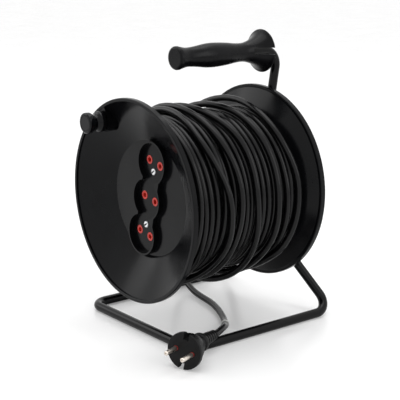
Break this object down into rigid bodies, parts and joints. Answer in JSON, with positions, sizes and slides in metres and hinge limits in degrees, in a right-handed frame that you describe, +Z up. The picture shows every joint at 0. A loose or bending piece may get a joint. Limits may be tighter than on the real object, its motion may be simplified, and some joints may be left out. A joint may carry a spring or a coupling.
{
  "type": "extension cord reel",
  "caption": "Cord wound on a drum with sockets in its front flange, crank knob, bent-tube stand and carrying grip, with a trailing lead and plug.",
  "frame": {"origin": "centre of the object's footprint on the floor, without the free cord and its plug", "axes": "+Z up, +X to the right seen from the socket side, +Y from the socket side to the back, along the axle"},
  "size_m": [0.2517, 0.2559, 0.3164],
  "materials": {
    "stand_paint": "gloss",
    "drum_plastic": "gloss",
    "grip_plastic": "satin",
    "knob_plastic": "gloss",
    "zinc_steel": "satin",
    "brass": "satin",
    "red_plastic": "gloss",
    "white_plastic": "matte",
    "cord_sheath": "satin",
    "plug_plastic": "satin",
    "pin_nickel": "polished"
  },
  "bodies": {
    "stand": {"base_frame": "stand_paint", "handle_tube": "stand_paint", "axle_bracket": "stand_paint", "axle_shaft": "zinc_steel", "rear_washer": "zinc_steel", "front_washer": "zinc_steel", "retaining_clip": "zinc_steel", "handle_grip": "grip_plastic", "grip_end_cap": "grip_plastic", "free_cord": "cord_sheath", "cord_tie": "white_plastic", "plug_body": "plug_plastic", "plug_relief": "plug_plastic", "plug_pins": "pin_nickel", "pin_collars": "red_plastic"},
    "drum": {"front_flange": "drum_plastic", "socket_block": "drum_plastic", "rear_flange": "drum_plastic", "drum_barrel": "drum_plastic", "tie_screws": "zinc_steel", "inner_hub": "drum_plastic", "front_bush": "white_plastic", "rear_bush": "white_plastic", "socket_cover": "drum_plastic", "socket_liners": "red_plastic", "socket_screws": "zinc_steel", "contact_carrier": "white_plastic", "contact_sleeves": "brass", "live_bar": "brass", "neutral_bar": "brass", "carrier_cover": "white_plastic", "lead_clamp": "white_plastic", "clamp_screws": "zinc_steel", "lead_in": "cord_sheath", "wound_core": "cord_sheath", "wound_layer": "cord_sheath", "knob_pin": "zinc_steel"},
    "knob": {"crank_knob": "knob_plastic", "knob_cap": "knob_plastic"}
  },
  "joints": [
    {"name": "drum_spin", "type": "hinge", "parent": "stand", "child": "drum", "pos_m": [0, 0, 0.145], "axis": [0, 1, 0], "continuous": true},
    {"name": "knob_spin", "type": "hinge", "parent": "drum", "child": "knob", "pos_m": [-0.05047, -0.10557, 0.22454], "axis": [0, 1, 0], "continuous": true}
  ]
}
